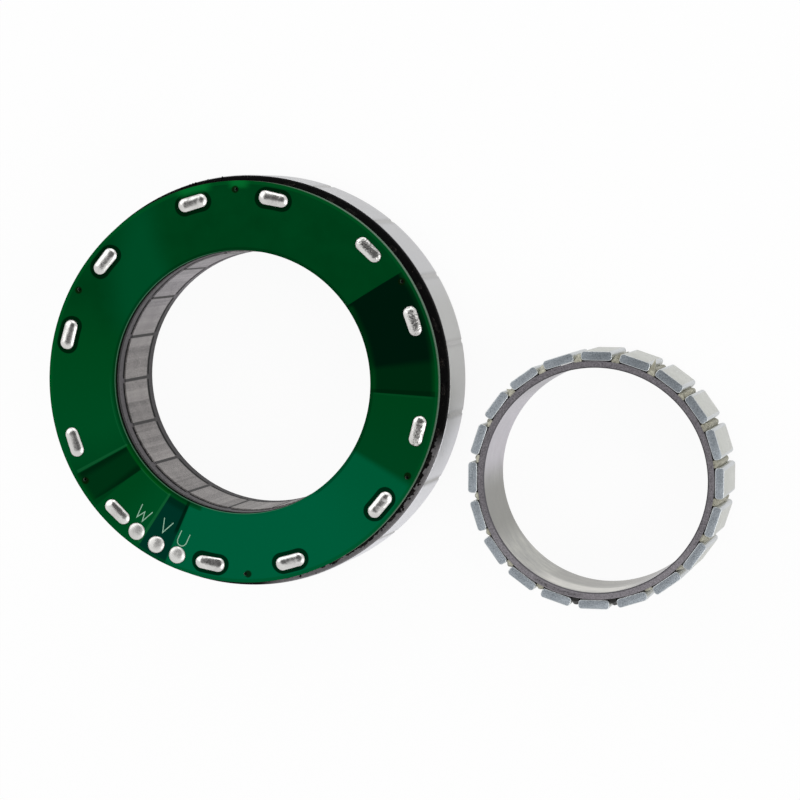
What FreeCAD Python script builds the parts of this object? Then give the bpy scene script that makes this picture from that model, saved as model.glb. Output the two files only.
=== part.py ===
import FreeCAD, Part

import os

import Sketcher

# Frameless torque motor: a wound stator with its circuit board, and the magnet rotor that runs in its
# bore, standing beside it. Millimetres. The stator rests on its rear end, and the origin is the centre
# of its bore at that end, with +Z along the motor's axis towards the board.

doc = FreeCAD.newDocument("FramelessMotor")

SIZES = [
    # lamination stack
    ("core_diameter", 94.0, "outside of the lamination stack"),
    ("bore_diameter", 59.1, "bore between the tooth shoes"),
    ("core_length", 17.4, "height of the stack"),
    ("slot_count", 18, "slots, teeth and coils"),
    ("slot_opening", 0.7, "gap between two shoes at the bore"),
    ("tooth_width", 5.4, "neck of a tooth"),
    ("shoe_edge", 0.9, "thickness of a shoe at its tip"),
    ("shoe_depth", 2.4, "from the bore to where a shoe meets its neck"),
    ("yoke_depth", 4.0, "from a slot's floor to the outside"),
    ("seam_width", 0.9, "weld seam down the outside, behind each tooth"),
    ("seam_depth", 0.15, "depth of the weld seam's groove"),
    # moulded end insulators
    ("cap_thickness", 1.2, "insulator over the end of the stack"),
    ("cap_gap", 0.2, "insulator's cap back from the sides of a shoe"),
    ("flange_margin", 0.6, "flange back from the outside of the stack"),
    # coils
    ("coil_end", 2.3, "thickness of the end turns over the cap"),
    ("coil_gap", 0.5, "between neighbouring coils"),
    ("coil_shoe_gap", 0.15, "coil back from the shoe's root"),
    ("coil_floor_gap", 0.45, "coil back from the slot's floor"),
    # casting resin
    ("front_end_height", 5.4, "from the stack to the board"),
    ("rear_end_height", 4.15, "from the rear end to the stack"),
    ("groove_depth", 0.45, "resin's end rings back from its wider rim"),
    ("resin_step", 0.3, "front resin's bore back from the stack's bore"),
    ("rim_height", 1.0, "resin's wider rim under the board"),
    ("rim_setback", 0.3, "resin's rim back from the board's edge"),
    # circuit board
    ("board_setback", 1.3, "board's edge back from the outside of the stack"),
    ("board_step", 0.35, "board's hole back from the stack's bore"),
    ("board_thickness", 1.6, "laminate"),
    ("joint_pairs", 6, "pairs of solder joints for the coil ends"),
    ("joint_edge_distance", 3.55, "middle of a joint back from the board's edge"),
    ("joint_angle", 31.9, "middle of the first pair, in degrees"),
    ("joint_spread", 12.95, "joint to each side of its pair's middle, in degrees"),
    ("joint_length", 7.1, "solder joint along the circle"),
    ("joint_width", 3.3, "solder joint across"),
    ("joint_height", 0.8, "crown of the joint over the board"),
    ("joint_bevel", 0.5, "bevel of the joint's top edge"),
    ("phase_edge_distance", 3.1, "middle of a phase pad back from the board's edge"),
    ("phase_angle", 240.75, "middle phase pad, in degrees"),
    ("phase_step", 7.4, "from one phase pad to the next, in degrees"),
    ("phase_pad_diameter", 4.05, "phase pad"),
    ("phase_pad_height", 0.75, "crown of a phase pad over the board"),
    ("phase_pad_bevel", 0.5, "bevel of the pad's top edge"),
    # rotor
    ("magnet_count", 20, "poles of the rotor"),
    ("magnet_width", 7.0, "magnet along the rotor's circle"),
    ("magnet_thickness", 2.05, "magnet from its seat to its face"),
    ("magnet_length", 22.0, "magnet along the axis"),
    ("magnet_corner", 0.4, "corner taken off the magnet's long edges"),
    ("magnet_phase", 16.84, "first magnet, in degrees"),
    ("air_gap", 0.43, "from the magnets' corners to the stator's bore"),
    ("bond_line", 0.1, "adhesive under the middle of a magnet"),
    ("bead_height", 1.2, "adhesive over the ring between magnets"),
    ("bead_setback", 0.35, "adhesive back from the magnets' ends"),
    ("ring_wall", 1.52, "wall of the steel ring"),
    ("ring_length", 24.0, "height of the steel ring"),
    ("ring_chamfer", 0.3, "chamfer of the ring's bore at both ends"),
    # how the two stand
    ("standing_gap", 7.05, "between the stator's and the rotor's outsides"),
    ("standing_angle", -15.6, "direction from the stator to the rotor, in degrees"),
]

sheet = doc.addObject("Spreadsheet::Sheet", "Sizes")
for row, (alias, value, note) in enumerate(SIZES, start=1):
    sheet.set(f"A{row}", alias)
    sheet.set(f"B{row}", str(value))
    sheet.set(f"C{row}", note)
    sheet.setAlias(f"B{row}", alias)
doc.recompute()


def size(text):
    """The present value of an expression on the sheet."""
    return float(sheet.evalExpression(text))


# Expressions that several pieces share.
CORE_R = "(Sizes.core_diameter / 2)"
BORE_R = "(Sizes.bore_diameter / 2)"
HALF_PITCH = "(180 / Sizes.slot_count)"
HALF_TOOTH = "(Sizes.tooth_width / 2)"
NECK_X = f"({BORE_R} + Sizes.shoe_depth)"
SLOT_FLOOR = f"({CORE_R} - Sizes.yoke_depth)"
CORE_TOP = "(Sizes.rear_end_height + Sizes.core_length)"
BOARD_BOTTOM = f"({CORE_TOP} + Sizes.front_end_height)"
BOARD_TOP = f"({BOARD_BOTTOM} + Sizes.board_thickness)"
BOARD_R = f"({CORE_R} - Sizes.board_setback)"
RIM_R = f"({BOARD_R} - Sizes.rim_setback)"
RESIN_R = f"({RIM_R} - Sizes.groove_depth)"
JOINT_CIRCLE_R = f"({BOARD_R} - Sizes.joint_edge_distance)"
PHASE_CIRCLE_R = f"({BOARD_R} - Sizes.phase_edge_distance)"
FRONT_RESIN_R = f"({BORE_R} + Sizes.resin_step)"
COIL_INNER = f"({NECK_X} + Sizes.coil_shoe_gap)"
COIL_OUTER = f"({SLOT_FLOOR} * cos({HALF_PITCH}) - Sizes.coil_floor_gap)"
MAGNET_SWEEP_R = f"({BORE_R} - Sizes.air_gap)"
MAGNET_FACE = f"sqrt({MAGNET_SWEEP_R} ^ 2 - (Sizes.magnet_width / 2) ^ 2)"
MAGNET_SEAT = f"({MAGNET_FACE} - Sizes.magnet_thickness)"
RING_R = f"({MAGNET_SEAT} - Sizes.bond_line)"
RING_BORE_R = f"({RING_R} - Sizes.ring_wall)"
STANDING = f"({CORE_R} + Sizes.standing_gap + {MAGNET_SWEEP_R})"

# How far an outline runs on past the face that it opens, and into the pieces that are cut out later.
OVERRUN = "1"
# The least upright edge left under the bevel of a drop of solder.
LEAST_EDGE = "0.05"


def new_body(name, base=("0", "0", "0"), turn="0"):
    """A body placed by expressions: where its own origin lies, and how far it is turned about Z."""
    body = doc.addObject("PartDesign::Body", name)
    body.Label = name
    body.Placement = FreeCAD.Placement(FreeCAD.Vector(), FreeCAD.Rotation(FreeCAD.Vector(0, 0, 1), size(turn)))
    for axis, value in zip("xyz", base):
        body.setExpression(f"Placement.Base.{axis}", value)
    body.setExpression("Placement.Rotation.Angle", turn)
    return body


def origin_feature(body, role):
    return next(f for f in body.Origin.OriginFeatures if f.Role == role)


def new_sketch(body, name, role="XY_Plane", lift="0", turn="0"):
    """A sketch on one of the body's own planes, lifted along its normal and turned about it."""
    sketch = body.newObject("Sketcher::SketchObject", name)
    sketch.AttachmentSupport = [(origin_feature(body, role), "")]
    sketch.MapMode = "FlatFace"
    spin = FreeCAD.Rotation(FreeCAD.Vector(0, 0, 1), size(turn))
    sketch.AttachmentOffset = FreeCAD.Placement(FreeCAD.Vector(0, 0, size(lift)), spin)
    sketch.setExpression("AttachmentOffset.Base.z", lift)
    sketch.setExpression("AttachmentOffset.Rotation.Angle", turn)
    return sketch


def bind(sketch, kind, *items):
    """Add a dimension to a sketch and bind it to the expression given last."""
    *where, expression = items
    index = sketch.addConstraint(Sketcher.Constraint(kind, *where, size(expression)))
    sketch.setExpression(f"Constraints[{index}]", expression)


def add_polygon(sketch, corners):
    """A closed outline whose corners are pairs of expressions."""
    points = [FreeCAD.Vector(size(x), size(y), 0) for x, y in corners]
    lines = [Part.LineSegment(a, b) for a, b in zip(points, points[1:] + points[:1])]
    first = sketch.GeometryCount
    sketch.addGeometry(lines, False)
    for i, (x, y) in enumerate(corners):
        following = (i + 1) % len(corners)
        sketch.addConstraint(Sketcher.Constraint("Coincident", first + i, 2, first + following, 1))
        bind(sketch, "DistanceX", -1, 1, first + i, 1, x)
        bind(sketch, "DistanceY", -1, 1, first + i, 1, y)


def add_circle(sketch, radius, x="0", y="0"):
    centre = FreeCAD.Vector(size(x), size(y), 0)
    circle = sketch.addGeometry(Part.Circle(centre, FreeCAD.Vector(0, 0, 1), size(radius)), False)
    bind(sketch, "Radius", circle, radius)
    bind(sketch, "DistanceX", -1, 1, circle, 3, x)
    bind(sketch, "DistanceY", -1, 1, circle, 3, y)


def round_corners(x, radius, reach="0"):
    """An outline with ends rounded in six short sides, its length along Y, centred at x on the X axis."""
    corners = []
    for step in range(12):
        angle = 15 + 30 * step
        end = reach if angle < 180 else f"-{reach}"
        corners.append((f"{x} + {radius} * cos({angle})", f"{end} + {radius} * sin({angle})"))
    return corners


def pad(body, sketch, length):
    feature = body.newObject("PartDesign::Pad", sketch.Name + "_pad")
    feature.Profile = sketch
    feature.setExpression("Length", length)
    return feature


def cut_through(body, sketch):
    """A pocket right through the body, to both sides of its sketch."""
    feature = body.newObject("PartDesign::Pocket", sketch.Name + "_cut")
    feature.Profile = sketch
    feature.Type = "ThroughAll"
    feature.Midplane = True
    return feature


def repeat(body, features, count):
    """Repeat features evenly round the body's Z axis."""
    pattern = body.newObject("PartDesign::PolarPattern", features[0].Name + "_ring")
    pattern.Originals = features
    pattern.Axis = (origin_feature(body, "Z_Axis"), [""])
    pattern.Angle = 360
    pattern.setExpression("Occurrences", count)
    body.Tip = pattern
    return pattern


def mirrored(corners):
    """Corners on +Y, given from the axis outwards, closed by their mirror images on -Y."""
    return corners + [(x, f"-({y})") for x, y in reversed(corners)]


def slot_corners(half_opening):
    """A slot between two teeth: open to the bore, wider behind the shoes, with a flat floor."""
    return mirrored([
        (f"{BORE_R} - {OVERRUN}", half_opening),
        (f"{BORE_R} + Sizes.shoe_edge", half_opening),
        (f"{NECK_X} * cos({HALF_PITCH}) + {HALF_TOOTH} * sin({HALF_PITCH})",
         f"{NECK_X} * sin({HALF_PITCH}) - {HALF_TOOTH} * cos({HALF_PITCH})"),
        (SLOT_FLOOR, f"{SLOT_FLOOR} * tan({HALF_PITCH}) - {HALF_TOOTH} / cos({HALF_PITCH})"),
    ])


# Stator core: electrical-steel laminations stacked and welded into one piece. Eighteen slots are
# punched from the bore, and a shallow seam runs down the outside behind each tooth.
def make_stator_core():
    body = new_body("stator_core", ("0", "0", "Sizes.rear_end_height"))
    ring = new_sketch(body, "core_outline")
    add_circle(ring, CORE_R)
    add_circle(ring, BORE_R)
    pad(body, ring, "Sizes.core_length")

    slot = new_sketch(body, "core_slot")
    add_polygon(slot, slot_corners("(Sizes.slot_opening / 2)"))
    repeat(body, [cut_through(body, slot)], "Sizes.slot_count")

    seam = new_sketch(body, "core_seam", turn=HALF_PITCH)
    add_polygon(seam, mirrored([
        (f"{CORE_R} - Sizes.seam_depth", "Sizes.seam_width / 2"),
        (f"{CORE_R} + {OVERRUN}", "Sizes.seam_width / 2"),
    ]))
    repeat(body, [cut_through(body, seam)], "Sizes.slot_count")
    return body


# End insulators: a black insulating plate on each end of the stack. It covers the yoke and the teeth and
# is open over each slot, so that the end turns never touch steel.
def make_insulator(name, bore, front):
    lift = CORE_TOP if front else "Sizes.rear_end_height"
    body = new_body(name, ("0", "0", lift))
    if not front:
        # the rear one is turned over, about a line through a slot
        body.setExpression("Placement.Rotation.Angle", None)
        over = FreeCAD.Rotation(FreeCAD.Vector(1, 0, 0), 180)
        body.Placement = FreeCAD.Placement(FreeCAD.Vector(0, 0, size(lift)), over)

    plate = new_sketch(body, name + "_plate")
    add_circle(plate, f"{CORE_R} - Sizes.flange_margin")
    add_circle(plate, bore)
    pad(body, plate, "Sizes.cap_thickness")

    window = new_sketch(body, name + "_window")
    add_polygon(window, slot_corners("(Sizes.slot_opening / 2 + Sizes.cap_gap)"))
    repeat(body, [cut_through(body, window)], "Sizes.slot_count")
    return body


# Coils: enamelled wire wound round each insulated tooth, as a wedge that fills half of each slot.
def make_coil(index):
    turn = f"{HALF_PITCH} * {2 * index - 1}"
    body = new_body(f"coil_{index:02d}", ("0", "0", "Sizes.rear_end_height"), turn)
    reach = "(Sizes.cap_thickness + Sizes.coil_end)"
    side = f"Sizes.coil_gap / 2 / cos({HALF_PITCH})"
    outline = new_sketch(body, f"coil_{index:02d}_outline", lift=f"-{reach}")
    add_polygon(outline, mirrored([
        (COIL_INNER, f"{COIL_INNER} * tan({HALF_PITCH}) - {side}"),
        (COIL_OUTER, f"{COIL_OUTER} * tan({HALF_PITCH}) - {side}"),
    ]))
    pad(body, outline, f"Sizes.core_length + 2 * {reach}")

    tooth = new_sketch(body, f"coil_{index:02d}_tooth", role="YZ_Plane")
    add_polygon(tooth, [
        (f"-{HALF_TOOTH}", "-Sizes.cap_thickness"),
        (HALF_TOOTH, "-Sizes.cap_thickness"),
        (HALF_TOOTH, "Sizes.core_length + Sizes.cap_thickness"),
        (f"-{HALF_TOOTH}", "Sizes.core_length + Sizes.cap_thickness"),
    ])
    cut_through(body, tooth)
    return body


# Casting resin: cast in one pour round the coils, through the slots and up to the board. It is turned
# as a blank with both end rings, and everything that it was poured round is cut out of it.
def make_resin(poured_round, coils):
    blank = new_body("resin_blank")
    profile = new_sketch(blank, "resin_profile", role="XZ_Plane")
    over_slots = f"({SLOT_FLOOR} + {OVERRUN})"
    rim_z = f"({BOARD_BOTTOM} - Sizes.rim_height)"
    add_polygon(profile, [
        (BORE_R, "0"),
        (RESIN_R, "0"),
        (RESIN_R, "Sizes.rear_end_height"),
        (over_slots, "Sizes.rear_end_height"),
        (over_slots, CORE_TOP),
        (RESIN_R, CORE_TOP),
        (RESIN_R, rim_z),
        (RIM_R, rim_z),
        (RIM_R, BOARD_BOTTOM),
        (FRONT_RESIN_R, BOARD_BOTTOM),
        (FRONT_RESIN_R, CORE_TOP),
        (BORE_R, CORE_TOP),
    ])
    turned = blank.newObject("PartDesign::Revolution", "resin_turned")
    turned.Profile = profile
    turned.ReferenceAxis = (profile, ["V_Axis"])
    turned.Angle = 360

    wound = doc.addObject("Part::Compound", "all_coils")
    wound.Links = coils
    cast = blank
    for tool in poured_round + [wound]:
        step = doc.addObject("Part::Cut", "resin_round_" + tool.Name)
        step.Base = cast
        step.Tool = tool
        cast = step
    cast.Label = "casting_resin"
    return cast


# Circuit board: a ring of glass-fibre laminate that joins the coil ends.
def make_circuit_board():
    body = new_body("circuit_board", ("0", "0", BOARD_BOTTOM))
    ring = new_sketch(body, "board_outline")
    add_circle(ring, BOARD_R)
    add_circle(ring, f"{BORE_R} + Sizes.board_step")
    pad(body, ring, "Sizes.board_thickness")
    return body


def crown(body, block, bevel, top):
    """Take the upper edge off a drop of solder."""
    block.recompute(True)
    edges = []
    for number, edge in enumerate(block.Shape.Edges, start=1):
        if all(abs(v.Point.z - size(top)) < 1e-6 for v in edge.Vertexes):
            edges.append(f"Edge{number}")
    feature = body.newObject("PartDesign::Chamfer", block.Name + "_crown")
    feature.Base = (block, edges)
    feature.setExpression("Size", bevel)
    return feature


# Coil joints: the coil ends are soldered to the board under twelve long drops. Two drops are made, and
# both are repeated round the board.
def make_coil_joints():
    drops = []
    for name, sign in (("early", "-"), ("late", "+")):
        body = new_body(f"joint_{name}", ("0", "0", BOARD_TOP))
        turn = f"Sizes.joint_angle {sign} Sizes.joint_spread"
        drop = new_sketch(body, f"joint_{name}_drop", turn=turn)
        radius = "(Sizes.joint_width / 2 / cos(15))"
        reach = "((Sizes.joint_length - Sizes.joint_width) / 2)"
        add_polygon(drop, round_corners(JOINT_CIRCLE_R, radius, reach))
        block = pad(body, drop, "Sizes.joint_height")
        crown(body, block, f"min(Sizes.joint_bevel; Sizes.joint_height - {LEAST_EDGE})", "Sizes.joint_height")
        drops.append(body)
    return drops


# Phase pads: three round drops of solder, where the phase leads go.
def make_phase_pad(letter, step):
    name = f"phase_pad_{letter}"
    turn = f"Sizes.phase_angle + {step} * Sizes.phase_step"
    body = new_body(name, ("0", "0", BOARD_TOP))
    drop = new_sketch(body, name + "_drop", turn=turn)
    add_polygon(drop, round_corners(PHASE_CIRCLE_R, "(Sizes.phase_pad_diameter / 2)"))
    block = pad(body, drop, "Sizes.phase_pad_height")
    bevel = f"min(Sizes.phase_pad_bevel; Sizes.phase_pad_height - {LEAST_EDGE})"
    crown(body, block, bevel, "Sizes.phase_pad_height")
    return body


ROTOR_BASE = (
    f"{STANDING} * cos(Sizes.standing_angle)",
    f"{STANDING} * sin(Sizes.standing_angle)",
    "0",
)


# Rotor ring: turned from steel tube, with a chamfer at both ends of its bore.
def make_rotor_ring():
    body = new_body("rotor_ring", ROTOR_BASE)
    profile = new_sketch(body, "ring_profile", role="XZ_Plane")
    add_polygon(profile, [
        (f"{RING_BORE_R} + Sizes.ring_chamfer", "0"),
        (RING_R, "0"),
        (RING_R, "Sizes.ring_length"),
        (f"{RING_BORE_R} + Sizes.ring_chamfer", "Sizes.ring_length"),
        (RING_BORE_R, "Sizes.ring_length - Sizes.ring_chamfer"),
        (RING_BORE_R, "Sizes.ring_chamfer"),
    ])
    turned = body.newObject("PartDesign::Revolution", "ring_turned")
    turned.Profile = profile
    turned.ReferenceAxis = (profile, ["V_Axis"])
    turned.Angle = 360
    return body


# Magnets: flat plated blocks with their long edges taken off, bonded round the ring flush with its upper end.
def make_magnet(index):
    name = f"magnet_{index:02d}"
    turn = f"Sizes.magnet_phase + {index - 1} * 360 / Sizes.magnet_count"
    body = new_body(name, ROTOR_BASE, turn)
    outline = new_sketch(body, name + "_outline", lift="Sizes.ring_length - Sizes.magnet_length")
    add_polygon(outline, mirrored([
        (MAGNET_SEAT, "Sizes.magnet_width / 2"),
        (MAGNET_FACE, "Sizes.magnet_width / 2"),
    ]))
    block = pad(body, outline, "Sizes.magnet_length")
    block.recompute(True)
    bevel = body.newObject("PartDesign::Chamfer", name + "_bevel")
    long_edges = []
    for number, edge in enumerate(block.Shape.Edges, start=1):
        a, b = (v.Point for v in edge.Vertexes)
        if abs(a.z - b.z) > 1:
            long_edges.append(f"Edge{number}")
    bevel.Base = (block, long_edges)
    bevel.setExpression("Size", "Sizes.magnet_corner")
    return body


# Magnet adhesive: epoxy film under the magnets, standing up as a flat bead in the gap between each two.
def make_magnet_adhesive(magnets):
    blank = new_body("adhesive_blank", ROTOR_BASE)
    lift = "(Sizes.ring_length - Sizes.magnet_length + Sizes.bead_setback)"
    sleeve = new_sketch(blank, "adhesive_sleeve", lift=lift)
    beads = round(size("Sizes.magnet_count"))
    flat = f"({RING_R} + Sizes.bead_height) / cos(180 / Sizes.magnet_count)"
    turns = [f"(Sizes.magnet_phase + {i} * 360 / Sizes.magnet_count)" for i in range(beads)]
    add_polygon(sleeve, [(f"{flat} * cos({turn})", f"{flat} * sin({turn})") for turn in turns])
    add_circle(sleeve, RING_R)
    pad(blank, sleeve, "Sizes.magnet_length - 2 * Sizes.bead_setback")
    blocks = doc.addObject("Part::Compound", "all_magnets")
    blocks.Links = magnets
    bead = doc.addObject("Part::Cut", "magnet_adhesive")
    bead.Label = "magnet_adhesive"
    bead.Base = blank
    bead.Tool = blocks
    return bead


stator_core = make_stator_core()
front_insulator = make_insulator("front_insulator", FRONT_RESIN_R, True)
rear_insulator = make_insulator("rear_insulator", BORE_R, False)
coils = [make_coil(i + 1) for i in range(round(size("Sizes.slot_count")))]
casting_resin = make_resin([stator_core, front_insulator, rear_insulator], coils)
circuit_board = make_circuit_board()
joints_early, joints_late = make_coil_joints()
phase_pads = [make_phase_pad(letter, step) for letter, step in (("w", -1), ("v", 0), ("u", 1))]
rotor_ring = make_rotor_ring()
magnets = [make_magnet(i + 1) for i in range(round(size("Sizes.magnet_count")))]
magnet_adhesive = make_magnet_adhesive(magnets)
doc.recompute()

# The twelve coil joints share one node, as copies of the two drops turned round the board.
coil_joints = doc.addObject("Part::Feature", "coil_joints")
coil_joints.Label = "coil_joints"
copies = []
pairs = round(size("Sizes.joint_pairs"))
for drop in (joints_early, joints_late):
    for i in range(pairs):
        copy = drop.Shape.copy()
        copy.rotate(FreeCAD.Vector(), FreeCAD.Vector(0, 0, 1), 360 * i / pairs)
        copies.append(copy)
coil_joints.Shape = Part.makeCompound(copies)

nodes = [
    stator_core, front_insulator, rear_insulator, *coils, casting_resin, circuit_board, coil_joints,
    *phase_pads, rotor_ring, *magnets, magnet_adhesive,
]

for item in doc.Objects:
    faults = [state for state in item.State if state in ("Invalid", "Error")]
    if faults:
        raise RuntimeError(f"{item.Name} did not recompute: {faults}")
for node in nodes:
    if node.Shape.isNull() or not node.Shape.isValid() or not node.Shape.Solids:
        raise RuntimeError(f"{node.Label} has no valid solid")

os.makedirs("parts", exist_ok=True)
for node in nodes:
    node.Shape.exportStep(f"parts/{node.Label}.step")
    box = node.Shape.BoundBox
    print(f"{node.Label}: {len(node.Shape.Solids)} solid(s), {node.Shape.Volume:.1f} mm3, "
          f"z {box.ZMin:.2f} to {box.ZMax:.2f}")
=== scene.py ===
import math
import random

import bmesh
import bpy
from mathutils import Matrix, Vector, noise


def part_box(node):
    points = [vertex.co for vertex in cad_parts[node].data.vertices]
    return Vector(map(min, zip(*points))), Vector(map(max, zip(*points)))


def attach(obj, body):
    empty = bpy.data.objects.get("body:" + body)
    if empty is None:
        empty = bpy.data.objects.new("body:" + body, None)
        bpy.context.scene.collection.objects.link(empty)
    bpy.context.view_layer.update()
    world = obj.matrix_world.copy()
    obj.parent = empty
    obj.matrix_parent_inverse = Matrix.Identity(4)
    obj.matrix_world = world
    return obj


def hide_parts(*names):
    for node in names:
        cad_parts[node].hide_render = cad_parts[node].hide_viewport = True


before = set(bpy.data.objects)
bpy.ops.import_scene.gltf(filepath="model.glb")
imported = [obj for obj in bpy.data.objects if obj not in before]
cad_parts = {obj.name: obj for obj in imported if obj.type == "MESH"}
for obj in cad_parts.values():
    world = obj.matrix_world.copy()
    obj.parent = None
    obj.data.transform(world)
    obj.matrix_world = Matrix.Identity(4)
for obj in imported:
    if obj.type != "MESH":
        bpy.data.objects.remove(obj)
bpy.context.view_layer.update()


# Lamination stack: thin rings of electrical steel, stamped with eighteen narrow slots, stacked and welded
# into one drum. Its outside is left bare for the machine's housing, and its bore is the eighteen tooth
# faces. Sizes here and below are in mm, and angles in degrees.
MM = 0.001
DEGREE = math.pi / 180
STACK_RADIUS = 47.0
STACK_BOTTOM = 4.15
STACK_TOP = 21.55
STACK_EDGE = 0.12
SHEET = 0.35
BORE_RADIUS = 29.55
BORE_REACH = 33.0
SLOTS = 18
PITCH = 360 / SLOTS
SLOT_HALF_WIDTH = 0.35
SHOE_TIP = 0.9
SHOE_DEPTH = 2.4
SLOT_ROOT_HALF = 2.87
SLOT_BACK = 43.0
SLOT_BACK_HALF = 4.84
GROOVE_HALF = 0.45
GROOVE_DEPTH = 0.15
ARC_STEPS = 20
FACE_STEPS = 14


class Shade:
    """One socket of a finish, so that values and colours can be written as plain sums."""

    def __init__(self, socket):
        self.socket = socket

    def node(self, kind, settings=None, inputs=None, output=0):
        """Any other node beside this one: its settings first, then what goes into its sockets."""
        tree = self.socket.id_data
        made = tree.nodes.new("ShaderNode" + kind)
        for name, value in (settings or {}).items():
            setattr(made, name, value)
        for where, value in (inputs or {}).items():
            if isinstance(value, Shade):
                tree.links.new(value.socket, made.inputs[where])
            else:
                made.inputs[where].default_value = value
        return Shade(made.outputs[output])

    def maths(self, operation, *others, first=None):
        """A Math node on this value and others, after a first one where it is given."""
        values = (self, *others) if first is None else (first, self)
        return self.node("Math", {"operation": operation}, dict(enumerate(values)))

    def __add__(self, other):
        return self.maths("ADD", other)

    def __radd__(self, other):
        return self.maths("ADD", first=other)

    def __sub__(self, other):
        return self.maths("SUBTRACT", other)

    def __rsub__(self, other):
        return self.maths("SUBTRACT", first=other)

    def __mul__(self, other):
        return self.maths("MULTIPLY", other)

    def __rmul__(self, other):
        return self.maths("MULTIPLY", first=other)

    def __abs__(self):
        return self.maths("ABSOLUTE")

    def __mod__(self, period):
        return self.maths("FLOORED_MODULO", period)

    def above(self, level, blur):
        """0 below a level and 1 above it, with a soft step between."""
        return self.node("MapRange", {"interpolation_type": "SMOOTHSTEP"},
                         {0: self, 1: level - blur / 2, 2: level + blur / 2})

    def within(self, low, high, blur):
        """1 between two levels and 0 outside them."""
        return self.above(low, blur) * (1 - self.above(high, blur))

    def tint(self, under, over):
        """The colour under where this is 0, and the colour over where it is 1."""
        return self.node("Mix", {"data_type": "RGBA"}, {0: self, 6: under, 7: over}, 2)


def paint(red, green, blue):
    """A colour as a painter's chart gives it, 0 to 255, in the light's own scale."""
    light = [v / 255 / 12.92 if v < 10 else ((v / 255 + 0.055) / 1.055) ** 2.4 for v in (red, green, blue)]
    return (*light, 1)


def new_finish(name, **steady):
    """A fresh finish with the values that are the same all over, and the place on the part in mm."""
    made = bpy.data.materials.new(name)
    made.use_nodes = True
    shader = made.node_tree.nodes["Principled BSDF"]
    for where, value in steady.items():
        shader.inputs[where.replace("_", " ")].default_value = value
    metres = Shade(shader.outputs[0]).node("TexCoord", output=3)
    return made, metres.node("VectorMath", {"operation": "SCALE"}, {0: metres, 3: 1 / MM})


def lay(made, relief, depth, **varying):
    """Lead what changes over the surface into the finish, and a relief in mm into its normal."""
    tree = made.node_tree
    shader = tree.nodes["Principled BSDF"]
    for where, value in varying.items():
        tree.links.new(value.socket, shader.inputs[where.replace("_", " ")])
    bump = relief.node("Bump", None, {"Strength": 1.0, "Distance": depth * MM, "Height": relief})
    tree.links.new(bump.socket, shader.inputs["Normal"])


def axes(place):
    """The x, y and z of a place."""
    parts = place.node("SeparateXYZ", None, {0: place}).socket.node
    return [Shade(part) for part in parts.outputs]


def length(a, b):
    return (a * a + b * b).maths("SQRT")


def round_axis(place, centre=(0.0, 0.0)):
    """Distance from an upright axis, angle about it from 0 to 360, and height."""
    x, y, z = axes(place)
    x, y = x - centre[0], y - centre[1]
    return length(x, y), (y.maths("ARCTAN2", x) * (180 / math.pi)) % 360.0, z


def stretched(place, x, y, z):
    return place.node("VectorMath", {"operation": "MULTIPLY"}, {0: place, 1: (x, y, z)})


def grain(place, scale, detail=3.0, roughness=0.6):
    return place.node("TexNoise", {}, {"Vector": place, "Scale": scale, "Detail": detail, "Roughness": roughness})


def striped(across, density):
    """One even tone for each strip of a value, with no likeness between neighbours."""
    strip = (across * density).maths("FLOOR")
    return strip.node("TexWhiteNoise", {"noise_dimensions": "1D"}, {"W": strip})


def polar(radius, degrees):
    return radius * math.cos(math.radians(degrees)), radius * math.sin(math.radians(degrees))


def point(form, x, y, z):
    return form.verts.new((x * MM, y * MM, z * MM))


def skin(form, rows, ends=True):
    """Faces between neighbouring rows of points, each row closed in itself, and over the two ends."""
    faces = []
    for a, b in zip(rows, rows[1:]):
        for i in range(len(a)):
            j = (i + 1) % len(a)
            faces.append(form.faces.new((a[i], a[j], b[j], b[i])))
    if ends:
        form.faces.new(rows[0][::-1])
        form.faces.new(rows[-1])
    return faces


def settle(name, form, turn_out=True):
    """The mesh of a finished form, with its faces turned outwards."""
    if turn_out:
        bmesh.ops.recalc_face_normals(form, faces=form.faces)
    mesh = bpy.data.meshes.new(name)
    form.to_mesh(mesh)
    form.free()
    return mesh


def add_piece(name, mesh, finish, slot, *nodes, sharp=30):
    """Put a mesh into the scene on the part's only body, in the place of the nodes it stands for."""
    mesh.polygons.foreach_set("use_smooth", [True] * len(mesh.polygons))
    mesh.set_sharp_from_angle(angle=math.radians(sharp))
    mesh.materials.append(finish)
    piece = bpy.data.objects.new(name, mesh)
    bpy.context.scene.collection.objects.link(piece)
    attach(piece, "root")
    if nodes:
        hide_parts(*nodes)
    return piece


def punched(name, loops, levels):
    """Sheet with holes: loops of (x, y), outside first, then the bore, carried through levels of
    (height, how far the outside is drawn in, how far the bore is opened)."""
    form = bmesh.new()
    rows = []
    for height, drawn_in, opened in levels:
        row = []
        for number, loop in enumerate(loops):
            shift = (-drawn_in, opened)[number] if number < 2 else 0.0
            grown = [(x, y, 1 + shift / math.hypot(x, y)) for x, y in loop]
            row.append([point(form, x * grow, y * grow, height) for x, y, grow in grown])
        rows.append(row)
    for lower, upper in zip(rows, rows[1:]):
        for pair in zip(lower, upper):
            skin(form, pair, ends=False)
    for row in (rows[0], rows[-1]):
        edges = [form.edges.get(ends) for ring in row for ends in zip(ring, ring[1:] + ring[:1])]
        bmesh.ops.triangle_fill(form, use_beauty=True, edges=edges)
    return settle(name, form)


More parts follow.
